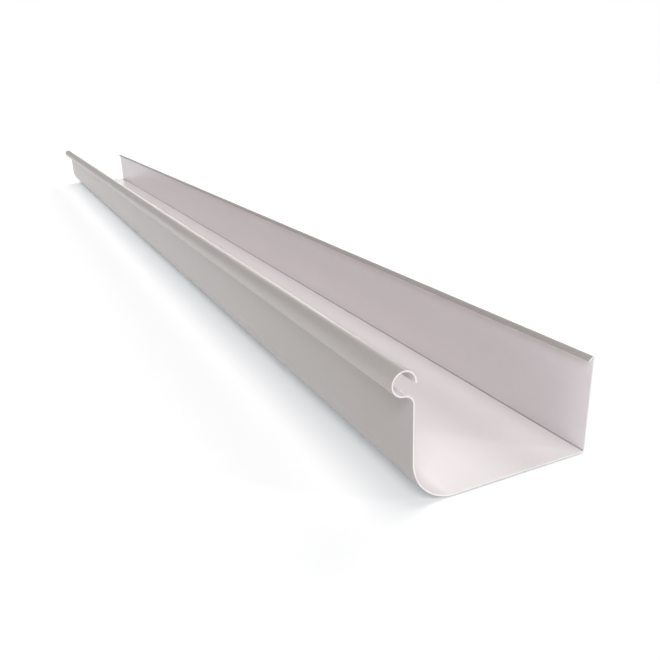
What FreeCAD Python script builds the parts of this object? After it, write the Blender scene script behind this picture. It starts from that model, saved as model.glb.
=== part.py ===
import FreeCAD, Part
import math
import os

import Sketcher

# Roll-formed rain gutter section with a high front, a rolled bead along its front edge
# and a folded back edge. One sheet of even thickness, bent to shape and cut square.
#
# Frame: +X along the length, -Y out to the front (bead side), +Y to the wall it hangs on,
# +Z up. The origin is under the middle of the section, on the plane it stands on.

# Driving sizes, in millimetres and degrees. Bend radii are inside radii.
SIZES = [
    ("section_length", 1500, "between the two cut ends"),
    ("sheet_thickness", 0.8, "coated sheet"),
    ("overall_width", 125, "front of the bead to the back face"),
    ("front_height", 75, "underside to the top of the bead"),
    ("back_height", 58, "underside to the top of the folded back edge"),
    ("front_bend_radius", 25, "round lower front corner"),
    ("back_bend_radius", 2, "lower back corner"),
    ("neck_radius", 5, "reverse bend that carries the bead out in front of the wall"),
    ("bead_diameter", 13.5, "outside of the rolled bead"),
    ("bead_opening", 82, "degrees of the bead's circle left open, below its free edge"),
    ("fold_radius", 0.3, "fold along the top of the back wall"),
    ("fold_length", 2.8, "flat part of the folded back edge"),
    ("fold_slope", 42, "degrees that this flat dips below level, towards the front"),
]

# The two faces of the sheet, to the left and right of a path that starts at the tip of
# the folded back edge and ends at the free edge of the bead.
OUTER_FACE = 1
WATER_FACE = -1
FACES = (OUTER_FACE, WATER_FACE)

# Point positions of a line or an arc in a sketch, and the sketch's own origin and X axis.
START, END, CENTRE = 1, 2, 3
ORIGIN = (-1, 1)
X_AXIS = -1


def make_sheet(doc):
    sheet = doc.addObject("Spreadsheet::Sheet", "sizes")
    for row, (alias, value, note) in enumerate(SIZES, start=1):
        sheet.set("A%d" % row, alias)
        sheet.set("B%d" % row, str(value))
        sheet.set("C%d" % row, note)
        sheet.setAlias("B%d" % row, alias)
    doc.recompute()
    return sheet


def heading_vector(degrees):
    angle = math.radians(degrees)
    return FreeCAD.Vector(math.cos(angle), math.sin(angle), 0)


def left_of(degrees):
    return heading_vector(degrees + 90)


def section_steps(sheet):
    """The straight runs and bends of the sheet's middle line, back edge to bead."""
    half = sheet.sheet_thickness / 2
    fold = sheet.fold_radius + half
    back_bend = sheet.back_bend_radius + half
    front_bend = sheet.front_bend_radius + half
    neck = sheet.neck_radius + half
    bead = sheet.bead_diameter / 2 - half

    back_y = sheet.overall_width / 2 - half
    bead_y = -sheet.overall_width / 2 + half + bead
    front_y = bead_y + neck
    fold_z = sheet.back_height - half - fold
    neck_z = sheet.front_height - half - 2 * bead - neck

    steps = [
        ("run", "fold_flat", sheet.fold_length),
        ("bend", "fold", fold, -(90 + sheet.fold_slope)),
        ("run", "back_wall", fold_z - back_bend - half),
        ("bend", "back_bend", back_bend, -90),
        ("run", "base", back_y - back_bend - front_bend - front_y),
        ("bend", "front_bend", front_bend, -90),
        ("run", "front_wall", neck_z - front_bend - half),
        ("bend", "neck", neck, 90),
        ("bend", "bead", bead, sheet.bead_opening - 360),
    ]
    fold_centre = FreeCAD.Vector(back_y - fold, fold_z, 0)
    fold_start = fold_centre + left_of(sheet.fold_slope) * fold
    tip = fold_start - heading_vector(sheet.fold_slope) * sheet.fold_length
    return steps, tip, sheet.fold_slope


def bend_arc(centre, radius, first, last):
    circle = Part.Circle(centre, FreeCAD.Vector(0, 0, 1), radius)
    return Part.ArcOfCircle(circle, math.radians(first), math.radians(last))


def draw_face(sketch, steps, tip, heading, face, half):
    """Draws one face of the sheet, and says where each step's line or arc begins and ends."""
    drawn = {}
    place = tip
    for kind, name, size, *turn in steps:
        offset = left_of(heading) * half * face
        if kind == "run":
            ahead = place + heading_vector(heading) * size
            shape = Part.LineSegment(place + offset, ahead + offset)
            drawn[name] = (sketch.addGeometry(shape), START, END)
            place = ahead
            continue
        side = math.copysign(1, turn[0])
        centre = place + left_of(heading) * size * side
        radius = size - half * face * side
        first = heading - 90 * side
        last = first + turn[0]
        if side > 0:
            drawn[name] = (sketch.addGeometry(bend_arc(centre, radius, first, last)), START, END)
        else:
            drawn[name] = (sketch.addGeometry(bend_arc(centre, radius, last, first)), END, START)
        heading += turn[0]
        place = centre + heading_vector(heading - 90 * side) * size
    return drawn


def dimension(sketch, name, kind, places, formula):
    """Adds a dimension whose value is a formula in the sheet's sizes."""
    value = float(sketch.evalExpression(formula))
    if kind == "Angle":
        value = math.radians(value)
        formula = "(" + formula + ") * 1 deg"
    index = sketch.addConstraint(Sketcher.Constraint(kind, *places, value))
    sketch.renameConstraint(index, name)
    sketch.setExpression("Constraints." + name, formula)


def relate(sketch, kind, *places):
    sketch.addConstraint(Sketcher.Constraint(kind, *places))


def join_face(sketch, steps, drawn):
    """Each line or arc of a face runs smoothly into the next."""
    names = [step[1] for step in steps]
    for name, following in zip(names, names[1:]):
        edge, _, end = drawn[name]
        next_edge, start, _ = drawn[following]
        relate(sketch, "Tangent", edge, end, next_edge, start)


def cut_edge(sketch, outer, water):
    """The sheet's own edge, a short line across its thickness, from water to outer face."""
    line = Part.LineSegment(sketch.getPoint(*water), sketch.getPoint(*outer))
    edge = sketch.addGeometry(line)
    relate(sketch, "Coincident", edge, START, *water)
    relate(sketch, "Coincident", edge, END, *outer)
    return edge


def draw_section(sketch, sheet):
    steps, tip, heading = section_steps(sheet)
    half = sheet.sheet_thickness / 2
    outer, water = [draw_face(sketch, steps, tip, heading, face, half) for face in FACES]

    for drawn in (outer, water):
        join_face(sketch, steps, drawn)

    # Both faces of a bend share its centre, a sheet's thickness apart. The bead's water
    # face gets its radius from the neck that it runs into.
    inside = {
        "fold": ("sizes.fold_radius", water, outer),
        "back_bend": ("sizes.back_bend_radius", water, outer),
        "front_bend": ("sizes.front_bend_radius", water, outer),
        "neck": ("sizes.neck_radius", outer, water),
    }
    for name, (radius, near, far) in inside.items():
        relate(sketch, "Coincident", near[name][0], CENTRE, far[name][0], CENTRE)
        dimension(sketch, name + "_inside", "Radius", (near[name][0],), radius)
        dimension(sketch, name + "_outside", "Radius", (far[name][0],),
                  radius + " + sizes.sheet_thickness")
    bead = outer["bead"][0]
    relate(sketch, "Coincident", bead, CENTRE, water["bead"][0], CENTRE)
    dimension(sketch, "bead_outside", "Radius", (bead,), "sizes.bead_diameter / 2")

    # The walls stand plumb on a level base, and the bead sits straight above the neck.
    relate(sketch, "Horizontal", outer["base"][0])
    relate(sketch, "PointOnObject", outer["base"][0], START, X_AXIS)
    relate(sketch, "Vertical", outer["back_wall"][0])
    relate(sketch, "Vertical", outer["front_wall"][0])
    relate(sketch, "Vertical", outer["neck"][0], CENTRE, bead, CENTRE)

    dimension(sketch, "back_face", "DistanceX", (*ORIGIN, outer["back_wall"][0], START),
              "sizes.overall_width / 2")
    dimension(sketch, "bead_forward", "DistanceX", (bead, CENTRE, *ORIGIN),
              "(sizes.overall_width - sizes.bead_diameter) / 2")
    dimension(sketch, "bead_up", "DistanceY", (*ORIGIN, bead, CENTRE),
              "sizes.front_height - sizes.bead_diameter / 2")
    dimension(sketch, "fold_up", "DistanceY", (*ORIGIN, outer["fold"][0], CENTRE),
              "sizes.back_height - sizes.fold_radius - sizes.sheet_thickness")

    # Folded back edge, then the free edge of the bead. Both are cut square to the sheet.
    flat = outer["fold_flat"][0]
    dimension(sketch, "fold_flat_length", "Distance", (flat,), "sizes.fold_length")
    dimension(sketch, "fold_flat_slope", "Angle", (flat,), "sizes.fold_slope")
    relate(sketch, "Parallel", flat, water["fold_flat"][0])
    back_edge = cut_edge(sketch, outer["fold_flat"][:2], water["fold_flat"][:2])
    relate(sketch, "Perpendicular", back_edge, flat)

    bead_edge = cut_edge(sketch, outer["bead"][::2], water["bead"][::2])
    relate(sketch, "PointOnObject", bead, CENTRE, bead_edge)
    dimension(sketch, "bead_edge_slope", "Angle", (bead_edge,), "sizes.bead_opening - 90")


def plane_of(body, role):
    return next(plane for plane in body.Origin.OriginFeatures if plane.Role == role)


def make_gutter_section(doc, sheet):
    body = doc.addObject("PartDesign::Body", "gutter_section")
    body.Label = "gutter_section"

    sketch = body.newObject("Sketcher::SketchObject", "sheet_section")
    sketch.AttachmentSupport = [(plane_of(body, "YZ_Plane"), "")]
    sketch.MapMode = "FlatFace"
    draw_section(sketch, sheet)
    doc.recompute()
    if not sketch.FullyConstrained:
        raise RuntimeError("the section of the sheet isn't fully constrained")

    pad = body.newObject("PartDesign::Pad", "rolled_length")
    pad.Profile = sketch
    pad.SideType = "Symmetric"
    pad.setExpression("Length", "sizes.section_length")
    body.Tip = pad
    return body


def check_and_export(doc, bodies):
    doc.recompute()
    for item in doc.Objects:
        if "Invalid" in item.State or "Error" in item.State:
            raise RuntimeError("%s did not recompute: %s" % (item.Name, item.State))
    for body in bodies:
        if body.Shape.isNull() or not body.Shape.isValid():
            raise RuntimeError("%s has no valid shape" % body.Label)
    for body in bodies:
        box = body.Shape.BoundBox
        print("%s: %.2f x %.2f x %.2f mm, %.0f mm3, %d solid" % (
            body.Label, box.XLength, box.YLength, box.ZLength,
            body.Shape.Volume, len(body.Shape.Solids)))
        body.Shape.exportStep("parts/%s.step" % body.Label)


os.makedirs("parts", exist_ok=True)
document = FreeCAD.newDocument("gutter_section_model")
sizes = make_sheet(document)
gutter_section = make_gutter_section(document, sizes)
check_and_export(document, [gutter_section])
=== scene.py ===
import math

import bpy
from mathutils import Matrix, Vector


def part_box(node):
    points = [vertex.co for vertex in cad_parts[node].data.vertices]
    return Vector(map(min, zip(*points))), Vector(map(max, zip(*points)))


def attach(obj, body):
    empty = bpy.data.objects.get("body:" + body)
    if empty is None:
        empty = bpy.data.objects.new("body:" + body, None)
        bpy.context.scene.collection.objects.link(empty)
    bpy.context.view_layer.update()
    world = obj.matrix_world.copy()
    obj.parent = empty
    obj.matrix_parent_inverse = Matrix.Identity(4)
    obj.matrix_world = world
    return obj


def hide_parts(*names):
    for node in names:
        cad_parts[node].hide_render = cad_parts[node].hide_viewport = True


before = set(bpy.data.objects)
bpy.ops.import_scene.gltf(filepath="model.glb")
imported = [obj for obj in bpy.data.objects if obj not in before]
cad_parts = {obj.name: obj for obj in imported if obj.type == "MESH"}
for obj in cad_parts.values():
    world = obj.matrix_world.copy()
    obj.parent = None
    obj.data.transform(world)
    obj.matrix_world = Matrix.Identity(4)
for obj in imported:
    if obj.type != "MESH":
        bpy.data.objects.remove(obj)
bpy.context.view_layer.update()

node = "gutter_section"
low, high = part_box(node)


def deselectAll():
    if bpy.context.mode != "OBJECT":
        bpy.ops.object.mode_set(mode="OBJECT")
    bpy.ops.object.select_all(action="DESELECT")


sameLine = 0.00002  # metres: points nearer than this lie on one line of the section


def selectLengthEdge(piece, y, z):
    # picks the edges that run along the length at this place in the section
    bpy.ops.object.mode_set(mode="OBJECT")
    mesh = piece.data
    for group in (mesh.vertices, mesh.edges, mesh.polygons):
        for item in group:
            item.select = False
    picked = 0
    for edge in mesh.edges:
        ends = [mesh.vertices[i].co for i in edge.vertices]
        if all(math.hypot(co.y - y, co.z - z) < sameLine for co in ends):
            edge.select = True
            picked += 1
            for i in edge.vertices:
                mesh.vertices[i].select = True
    bpy.ops.object.mode_set(mode="EDIT")
    bpy.ops.mesh.select_mode(type="EDGE")
    if not picked:
        raise RuntimeError(f"no edge along the length at y {y:.5f}, z {z:.5f}")


def pushEdge(piece, start, run):
    # extrudes the edge at start by run, both in the section's plane
    selectLengthEdge(piece, *start)
    bpy.ops.mesh.extrude_region_move(TRANSFORM_OT_translate={"value": (0, run[0], run[1])})
    return (start[0] + run[0], start[1] + run[1])


def bendEdge(piece, start, centre, degrees, steps):
    # spins the edge at start round centre; positive turns from +Y to +Z
    selectLengthEdge(piece, *start)
    turn = math.radians(degrees)
    axis = (-math.copysign(1, turn), 0, 0)
    bpy.ops.mesh.spin(steps=steps, angle=abs(turn), center=(0, *centre), axis=axis)
    y = start[0] - centre[0]
    z = start[1] - centre[1]
    return (
        centre[0] + y * math.cos(turn) - z * math.sin(turn),
        centre[1] + y * math.sin(turn) + z * math.cos(turn),
    )


# the camera stands low past one end and looks along the open channel

view = {
    "place": (0.98846, -0.20389, 0.19661),
    "turn": 64.92,  # degrees
    "dip": 19.89,
    "roll": -1.89,
    "lens": 36.615,
    "sensor": 36,
    "nearest": 0.01,
}


def addCamera():
    facing = Matrix.Rotation(math.radians(view["turn"]), 3, "Z")
    facing = facing @ Matrix.Rotation(math.radians(90 - view["dip"]), 3, "X")
    facing = facing @ Matrix.Rotation(math.radians(view["roll"]), 3, "Z")
    deselectAll()
    bpy.ops.object.camera_add(location=view["place"], rotation=facing.to_euler())
    camera = bpy.context.object
    camera.name = "camera"
    camera.data.lens = view["lens"]
    camera.data.sensor_width = view["sensor"]
    camera.data.clip_start = view["nearest"]
    bpy.context.scene.camera = camera


addCamera()
print("camera placed")


# the sheet: one strip, bent along its middle line and then given its thickness

sheet = {
    "thickness": 0.0008,
    "frontBend": 0.025,  # inside radii
    "backBend": 0.0008,
    "neck": 0.005,
    "fold": 0.0003,
    "bead": 0.0135,  # outside diameter
    "beadOpening": 82,  # degrees left open on the inner side
    "backHeight": 0.058,
    "foldFlat": 0.0028,
    "foldSlope": 42,
    "support": 0.0008,  # narrow flat beside each bend, which keeps the walls flat in the light
    "frontSteps": 28,  # facets round each bend
    "backSteps": 12,
    "neckSteps": 12,
    "foldSteps": 12,
    "beadSteps": 56,
    "lengthParts": 24,
    "mergeWithin": 0.00001,
    "edgeRounding": 0.00009,
    "edgeAngle": 50,  # sharper edges than this get the rounding
    "smoothAngle": 30,
    "endLean": 0.3,  # the faces of a long edge lean along the length by less than this
    "creaseShadeReach": 0.005,  # how near to the back corner the dark line of painted shade lies
    "creaseShadeLean": 0.2,  # its faces lean forwards and upwards by more than this
}
# the order of the sheet's material slots; the last slot paints shade into the tight back crease
outerSlot, innerSlot, cutSlot, creaseShadeSlot = range(4)


def makeSheet():
    half = sheet["thickness"] / 2
    rest = sheet["support"]
    baseZ = low[2] + half
    backY = high[1] - half
    beadR = sheet["bead"] / 2 - half
    beadCentre = (low[1] + sheet["bead"] / 2, high[2] - sheet["bead"] / 2)
    neckR = sheet["neck"] + half
    neckCentre = (beadCentre[0], beadCentre[1] - beadR - neckR)
    frontR = sheet["frontBend"] + half
    frontCentre = (neckCentre[0] + neckR + frontR, baseZ + frontR)
    backR = sheet["backBend"] + half
    backCentre = (backY - backR, baseZ + backR)
    foldR = sheet["fold"] + half
    foldCentre = (backY - foldR, low[2] + sheet["backHeight"] - half - foldR)

    # the base, a little short of both bends
    frontY = frontCentre[0] + rest
    rearY = backCentre[0] - rest
    deselectAll()
    bpy.ops.mesh.primitive_plane_add(size=1, location=(0, 0, 0))
    piece = bpy.context.object
    piece.name = "rolledSheet"
    bpy.ops.object.mode_set(mode="EDIT")
    bpy.ops.mesh.select_all(action="SELECT")
    bpy.ops.transform.resize(value=(high[0] - low[0], rearY - frontY, 1))
    bpy.ops.transform.translate(value=((high[0] + low[0]) / 2, (rearY + frontY) / 2, baseZ))

    # front: base, wide bend, wall, neck, bead
    at = pushEdge(piece, (frontY, baseZ), (-rest, 0))
    at = bendEdge(piece, at, frontCentre, -90, sheet["frontSteps"])
    at = pushEdge(piece, at, (0, rest))
    at = pushEdge(piece, at, (0, neckCentre[1] - rest - at[1]))
    at = pushEdge(piece, at, (0, rest))
    at = bendEdge(piece, at, neckCentre, 90, sheet["neckSteps"])
    bendEdge(piece, at, beadCentre, sheet["beadOpening"] - 360, sheet["beadSteps"])

    # back: base, tight bend, wall, fold
    at = pushEdge(piece, (rearY, baseZ), (rest, 0))
    at = bendEdge(piece, at, backCentre, 90, sheet["backSteps"])
    at = pushEdge(piece, at, (0, rest))
    at = pushEdge(piece, at, (0, foldCentre[1] - rest - at[1]))
    at = pushEdge(piece, at, (0, rest))
    at = bendEdge(piece, at, foldCentre, 90 + sheet["foldSlope"], sheet["foldSteps"])
    slope = math.radians(sheet["foldSlope"])
    reach = sheet["foldFlat"]
    pushEdge(piece, at, (-reach * math.cos(slope), -reach * math.sin(slope)))

    # cross cuts share the long strip out along its length
    for part in range(1, sheet["lengthParts"]):
        x = low[0] + (high[0] - low[0]) * part / sheet["lengthParts"]
        bpy.ops.mesh.select_all(action="SELECT")
        bpy.ops.mesh.bisect(plane_co=(x, 0, 0), plane_no=(1, 0, 0))
    bpy.ops.mesh.select_all(action="SELECT")
    bpy.ops.mesh.remove_doubles(threshold=sheet["mergeWithin"])
    bpy.ops.mesh.normals_make_consistent(inside=False)
    bpy.ops.object.mode_set(mode="OBJECT")
    return piece


def finishSheet(piece, finishes):
    for finish in finishes:
        piece.data.materials.append(finish)
    wall = piece.modifiers.new("wall", "SOLIDIFY")
    wall.thickness = sheet["thickness"]
    wall.offset = 0
    wall.use_even_offset = True
    wall.material_offset = innerSlot  # the face that carries the water
    wall.material_offset_rim = cutSlot
    edges = piece.modifiers.new("cutEdges", "BEVEL")
    edges.width = sheet["edgeRounding"]
    edges.segments = 2
    edges.limit_method = "ANGLE"
    edges.angle_limit = math.radians(sheet["edgeAngle"])
    edges.material = cutSlot
    deselectAll()
    bpy.context.view_layer.objects.active = piece
    piece.select_set(True)
    for name in ("wall", "cutEdges"):
        bpy.ops.object.modifier_apply(modifier=name)

    # only the two sawn ends keep the near-white cut finish: the long free edges keep the coat
    for face in piece.data.polygons:
        if face.material_index == cutSlot and abs(face.normal.x) < sheet["endLean"]:
            face.material_index = outerSlot

    # inside the tight back bend the faces get the darker crease coat, a fine line of painted shade along
    # the crease
    cornerY = high[1] - sheet["creaseShadeReach"]
    cornerZ = low[2] + sheet["creaseShadeReach"]
    lean = sheet["creaseShadeLean"]
    for face in piece.data.polygons:
        inCorner = face.center.y > cornerY and face.center.z < cornerZ
        leansIn = face.normal.y < -lean and face.normal.z > lean
        if face.material_index == innerSlot and inCorner and leansIn:
            face.material_index = creaseShadeSlot
    bpy.ops.object.shade_smooth_by_angle(angle=math.radians(sheet["smoothAngle"]))
    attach(piece, "root")
    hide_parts(node)


# three coats, the third a darker copy of the inner coat that paints shade into the tight back crease:
# their tone wanders from pale to deep and their gloss within the roughness range

outerCoat = {
    "pale": (0.460, 0.434, 0.421, 1),
    "deep": (0.440, 0.414, 0.401, 1),
    "roughness": (0.30, 0.36),
    "specular": 0.5,
    "peel": 0.05,
}
innerCoat = {
    "pale": (0.856, 0.812, 0.826, 1),
    "deep": (0.836, 0.792, 0.806, 1),
    "roughness": (0.28, 0.33),
    "specular": 0.5,
    "peel": 0.05,
}
# painted shade: a darker, duller copy of the inner coat for the faces in the tight back crease
creaseShadeCoat = {
    "pale": (0.440, 0.418, 0.425, 1),
    "deep": (0.420, 0.398, 0.405, 1),
    "roughness": (0.34, 0.40),
    "specular": 0.3,
    "peel": 0.05,
}
# the pattern that the coats share
grain = {
    "streakScale": (0.8, 70, 70),
    "streakShare": 0.6,
    "mottleScale": 26.0,
    "mottleShare": 0.4,
    "toneSpan": (0.36, 0.64),
    "glossSpan": (0.3, 0.7),
    "peelScale": 620.0,
    "peelHeight": 0.0004,
}


def addNode(owner, kind, place, **values):
    made = owner.node_tree.nodes.new(kind)
    made.location = place
    for name, value in values.items():
        if name in made.inputs:
            made.inputs[name].default_value = value
        else:
            setattr(made, name, value)
    return made


def link(owner, source, target):
    owner.node_tree.links.new(source, target)


def newMaterial(name):
    made = bpy.data.materials.new(name)
    made.use_nodes = True
    return made, made.node_tree.nodes["Principled BSDF"]


def spreadTone(material, source, place, span, colours):
    # the pattern's span runs from the first colour to the second
    tone = addNode(material, "ShaderNodeValToRGB", place)
    for i in range(2):
        tone.color_ramp.elements[i].position = span[i]
        tone.color_ramp.elements[i].color = colours[i]
    link(material, source, tone.inputs["Fac"])
    shader = material.node_tree.nodes["Principled BSDF"]
    link(material, tone.outputs["Color"], shader.inputs["Base Color"])


def spreadGloss(material, source, place, span, roughness):
    gloss = addNode(material, "ShaderNodeMapRange", place)
    gloss.inputs["From Min"].default_value = span[0]
    gloss.inputs["From Max"].default_value = span[1]
    gloss.inputs["To Min"].default_value = roughness[0]
    gloss.inputs["To Max"].default_value = roughness[1]
    link(material, source, gloss.inputs["Value"])
    shader = material.node_tree.nodes["Principled BSDF"]
    link(material, gloss.outputs["Result"], shader.inputs["Roughness"])


def makeCoating(name, coat):
    made, shader = newMaterial(name)
    shader.inputs["Specular IOR Level"].default_value = coat["specular"]
    where = addNode(made, "ShaderNodeTexCoord", (-1500, 0))

    # long faint streaks left by the rolls
    drawn = addNode(made, "ShaderNodeMapping", (-1280, 260), Scale=grain["streakScale"])
    link(made, where.outputs["Object"], drawn.inputs["Vector"])
    streaks = addNode(made, "ShaderNodeTexNoise", (-1060, 260), Scale=1.0, Detail=3.0, Roughness=0.6)
    link(made, drawn.outputs["Vector"], streaks.inputs["Vector"])

    # soft mottling of the pigment
    mottle = addNode(made, "ShaderNodeTexNoise", (-1060, 0), Detail=5.0, Roughness=0.65)
    mottle.inputs["Scale"].default_value = grain["mottleScale"]
    link(made, where.outputs["Object"], mottle.inputs["Vector"])
    blend = addNode(made, "ShaderNodeMath", (-820, 160), operation="MULTIPLY_ADD")
    blend.inputs[1].default_value = grain["streakShare"]
    link(made, streaks.outputs["Fac"], blend.inputs[0])
    share = addNode(made, "ShaderNodeMath", (-820, 0), operation="MULTIPLY")
    share.inputs[1].default_value = grain["mottleShare"]
    link(made, mottle.outputs["Fac"], share.inputs[0])
    link(made, share.outputs["Value"], blend.inputs[2])
    pattern = blend.outputs["Value"]
    spreadTone(made, pattern, (-580, 160), grain["toneSpan"], (coat["deep"], coat["pale"]))
    spreadGloss(made, pattern, (-580, -120), grain["glossSpan"], coat["roughness"])

    # the coating's fine orange peel
    peel = addNode(made, "ShaderNodeTexNoise", (-580, -400), Detail=2.0, Roughness=0.5)
    peel.inputs["Scale"].default_value = grain["peelScale"]
    link(made, where.outputs["Object"], peel.inputs["Vector"])
    bump = addNode(made, "ShaderNodeBump", (-340, -400), Strength=coat["peel"])
    bump.inputs["Distance"].default_value = grain["peelHeight"]
    link(made, peel.outputs["Fac"], bump.inputs["Height"])
    link(made, bump.outputs["Normal"], shader.inputs["Normal"])
    return made


cut = {
    "bright": (0.98, 0.98, 0.97, 1),
    "dull": (0.93, 0.93, 0.92, 1),
    "roughness": (0.3, 0.45),
    "lineScale": 1500.0,
    "toneSpan": (0.35, 0.65),
}


def makeCutMetal():
    # the sheared edge, drawn near white, with a very fine grain
    made = newMaterial("cutEdge")[0]
    where = addNode(made, "ShaderNodeTexCoord", (-1100, 0))
    lines = addNode(made, "ShaderNodeTexNoise", (-860, 0), Scale=cut["lineScale"], Detail=2.0)
    link(made, where.outputs["Object"], lines.inputs["Vector"])
    pattern = lines.outputs["Fac"]
    spreadTone(made, pattern, (-600, 120), cut["toneSpan"], (cut["dull"], cut["bright"]))
    spreadGloss(made, pattern, (-600, -160), (0, 1), cut["roughness"])
    return made


rolledSheet = makeSheet()
print("sheet bent")
finishes = [
    makeCoating("outerCoat", outerCoat),
    makeCoating("innerCoat", innerCoat),
    makeCutMetal(),
    # painted shade for the tight back crease
    makeCoating("creaseShadeCoat", creaseShadeCoat),
]
finishSheet(rolledSheet, finishes)
print("sheet finished with", len(rolledSheet.data.polygons), "faces")


# floor and light

room = {
    "floorSize": 30,
    "floorGap": 0.0009,  # lets a thin dark line show where the base meets the floor
    "floorColour": (0.99, 0.99, 0.99, 1),
    "floorRoughness": 0.9,
    "floorGlow": 0.215,
    "floorTint": (0.84, 0.93, 1.0, 1),
    "lampPlace": (0, 0, 3),  # every lamp is a sun, so its turn matters and its place does not
}
# height above the floor, compass angle from +X and width of the disc, all in degrees
lamps = {
    "main": {"height": 45, "compass": 330, "width": 26, "energy": 1.45, "colour": (0.98, 0.99, 1.0)},
    "above": {"height": 90, "compass": 0, "width": 26, "energy": 1.03, "colour": (1.0, 0.95, 0.91)},
    "lowEnd": {"height": 8, "compass": 30, "width": 26, "energy": 0.36, "colour": (0.95, 0.97, 1.0)},
    "front": {"height": 8, "compass": 270, "width": 26, "energy": 0.93, "colour": (1.0, 0.97, 0.97)},
    "frontFar": {"height": 8, "compass": 210, "width": 26, "energy": 0.09, "colour": (1.0, 1.0, 1.0)},
    "rimFar": {"height": 8, "compass": 180, "width": 26, "energy": 0.08, "colour": (1.0, 1.0, 0.98)},
    "rimLeft": {"height": 6, "compass": 160, "width": 24, "energy": 0.33, "colour": (1.0, 1.0, 0.98)},
    "rimRight": {"height": 6, "compass": 140, "width": 24, "energy": 0.29, "colour": (1.0, 1.0, 1.0)},
    "behind": {"height": 30, "compass": 140, "width": 26, "energy": 0.31, "colour": (1.0, 1.0, 1.0)},
    "behindHigh": {"height": 45, "compass": 120, "width": 26, "energy": 0.34, "colour": (1.0, 0.96, 0.98)},
    "spot": {"height": 20, "compass": 47, "width": 3, "energy": 0.42, "colour": (1.0, 0.99, 0.98)},
}


def makeFloor():
    deselectAll()
    bpy.ops.mesh.primitive_plane_add(size=room["floorSize"], location=(0, 0, 0))
    floor = bpy.context.object
    floor.name = "floor"
    bpy.ops.object.mode_set(mode="EDIT")
    bpy.ops.mesh.select_all(action="SELECT")
    bpy.ops.transform.translate(value=(0, 0, low[2] - room["floorGap"]))
    bpy.ops.object.mode_set(mode="OBJECT")
    made, shader = newMaterial("floor")
    shader.inputs["Base Color"].default_value = room["floorColour"]
    shader.inputs["Roughness"].default_value = room["floorRoughness"]
    shader.inputs["Specular IOR Level"].default_value = 0.0

    # lifts the open floor to white for the camera and in reflections, and lights nothing else
    shader.inputs["Emission Color"].default_value = room["floorTint"]
    rays = addNode(made, "ShaderNodeLightPath", (-700, -300))
    seen = addNode(made, "ShaderNodeMath", (-500, -300), operation="MAXIMUM")
    link(made, rays.outputs["Is Camera Ray"], seen.inputs[0])
    link(made, rays.outputs["Is Glossy Ray"], seen.inputs[1])
    glow = addNode(made, "ShaderNodeMath", (-300, -300), operation="MULTIPLY")
    glow.inputs[1].default_value = room["floorGlow"]
    link(made, seen.outputs["Value"], glow.inputs[0])
    link(made, glow.outputs["Value"], shader.inputs["Emission Strength"])
    floor.data.materials.append(made)


makeFloor()
print("floor laid")


def makeBackdrop():
    # plain white where the camera looks past the floor
    world = bpy.data.worlds.new("room")
    bpy.context.scene.world = world
    world.use_nodes = True
    backdrop = world.node_tree.nodes["Background"]
    backdrop.inputs["Color"].default_value = (1, 1, 1, 1)
    rays = addNode(world, "ShaderNodeLightPath", (-300, 0))
    link(world, rays.outputs["Is Camera Ray"], backdrop.inputs["Strength"])


def hangLamp(name, lamp):
    deselectAll()
    bpy.ops.object.light_add(type="SUN", location=room["lampPlace"])
    made = bpy.context.object
    made.name = name
    tilt = math.radians(90 - lamp["height"])
    made.rotation_euler = (tilt, 0, math.radians(lamp["compass"] + 90))
    made.data.energy = lamp["energy"]
    made.data.angle = math.radians(lamp["width"])
    made.data.color = lamp["colour"]


makeBackdrop()
for name, lamp in lamps.items():
    hangLamp(name, lamp)
print("lamps hung:", len(lamps))

scene = bpy.context.scene
scene.view_settings.view_transform = "Standard"
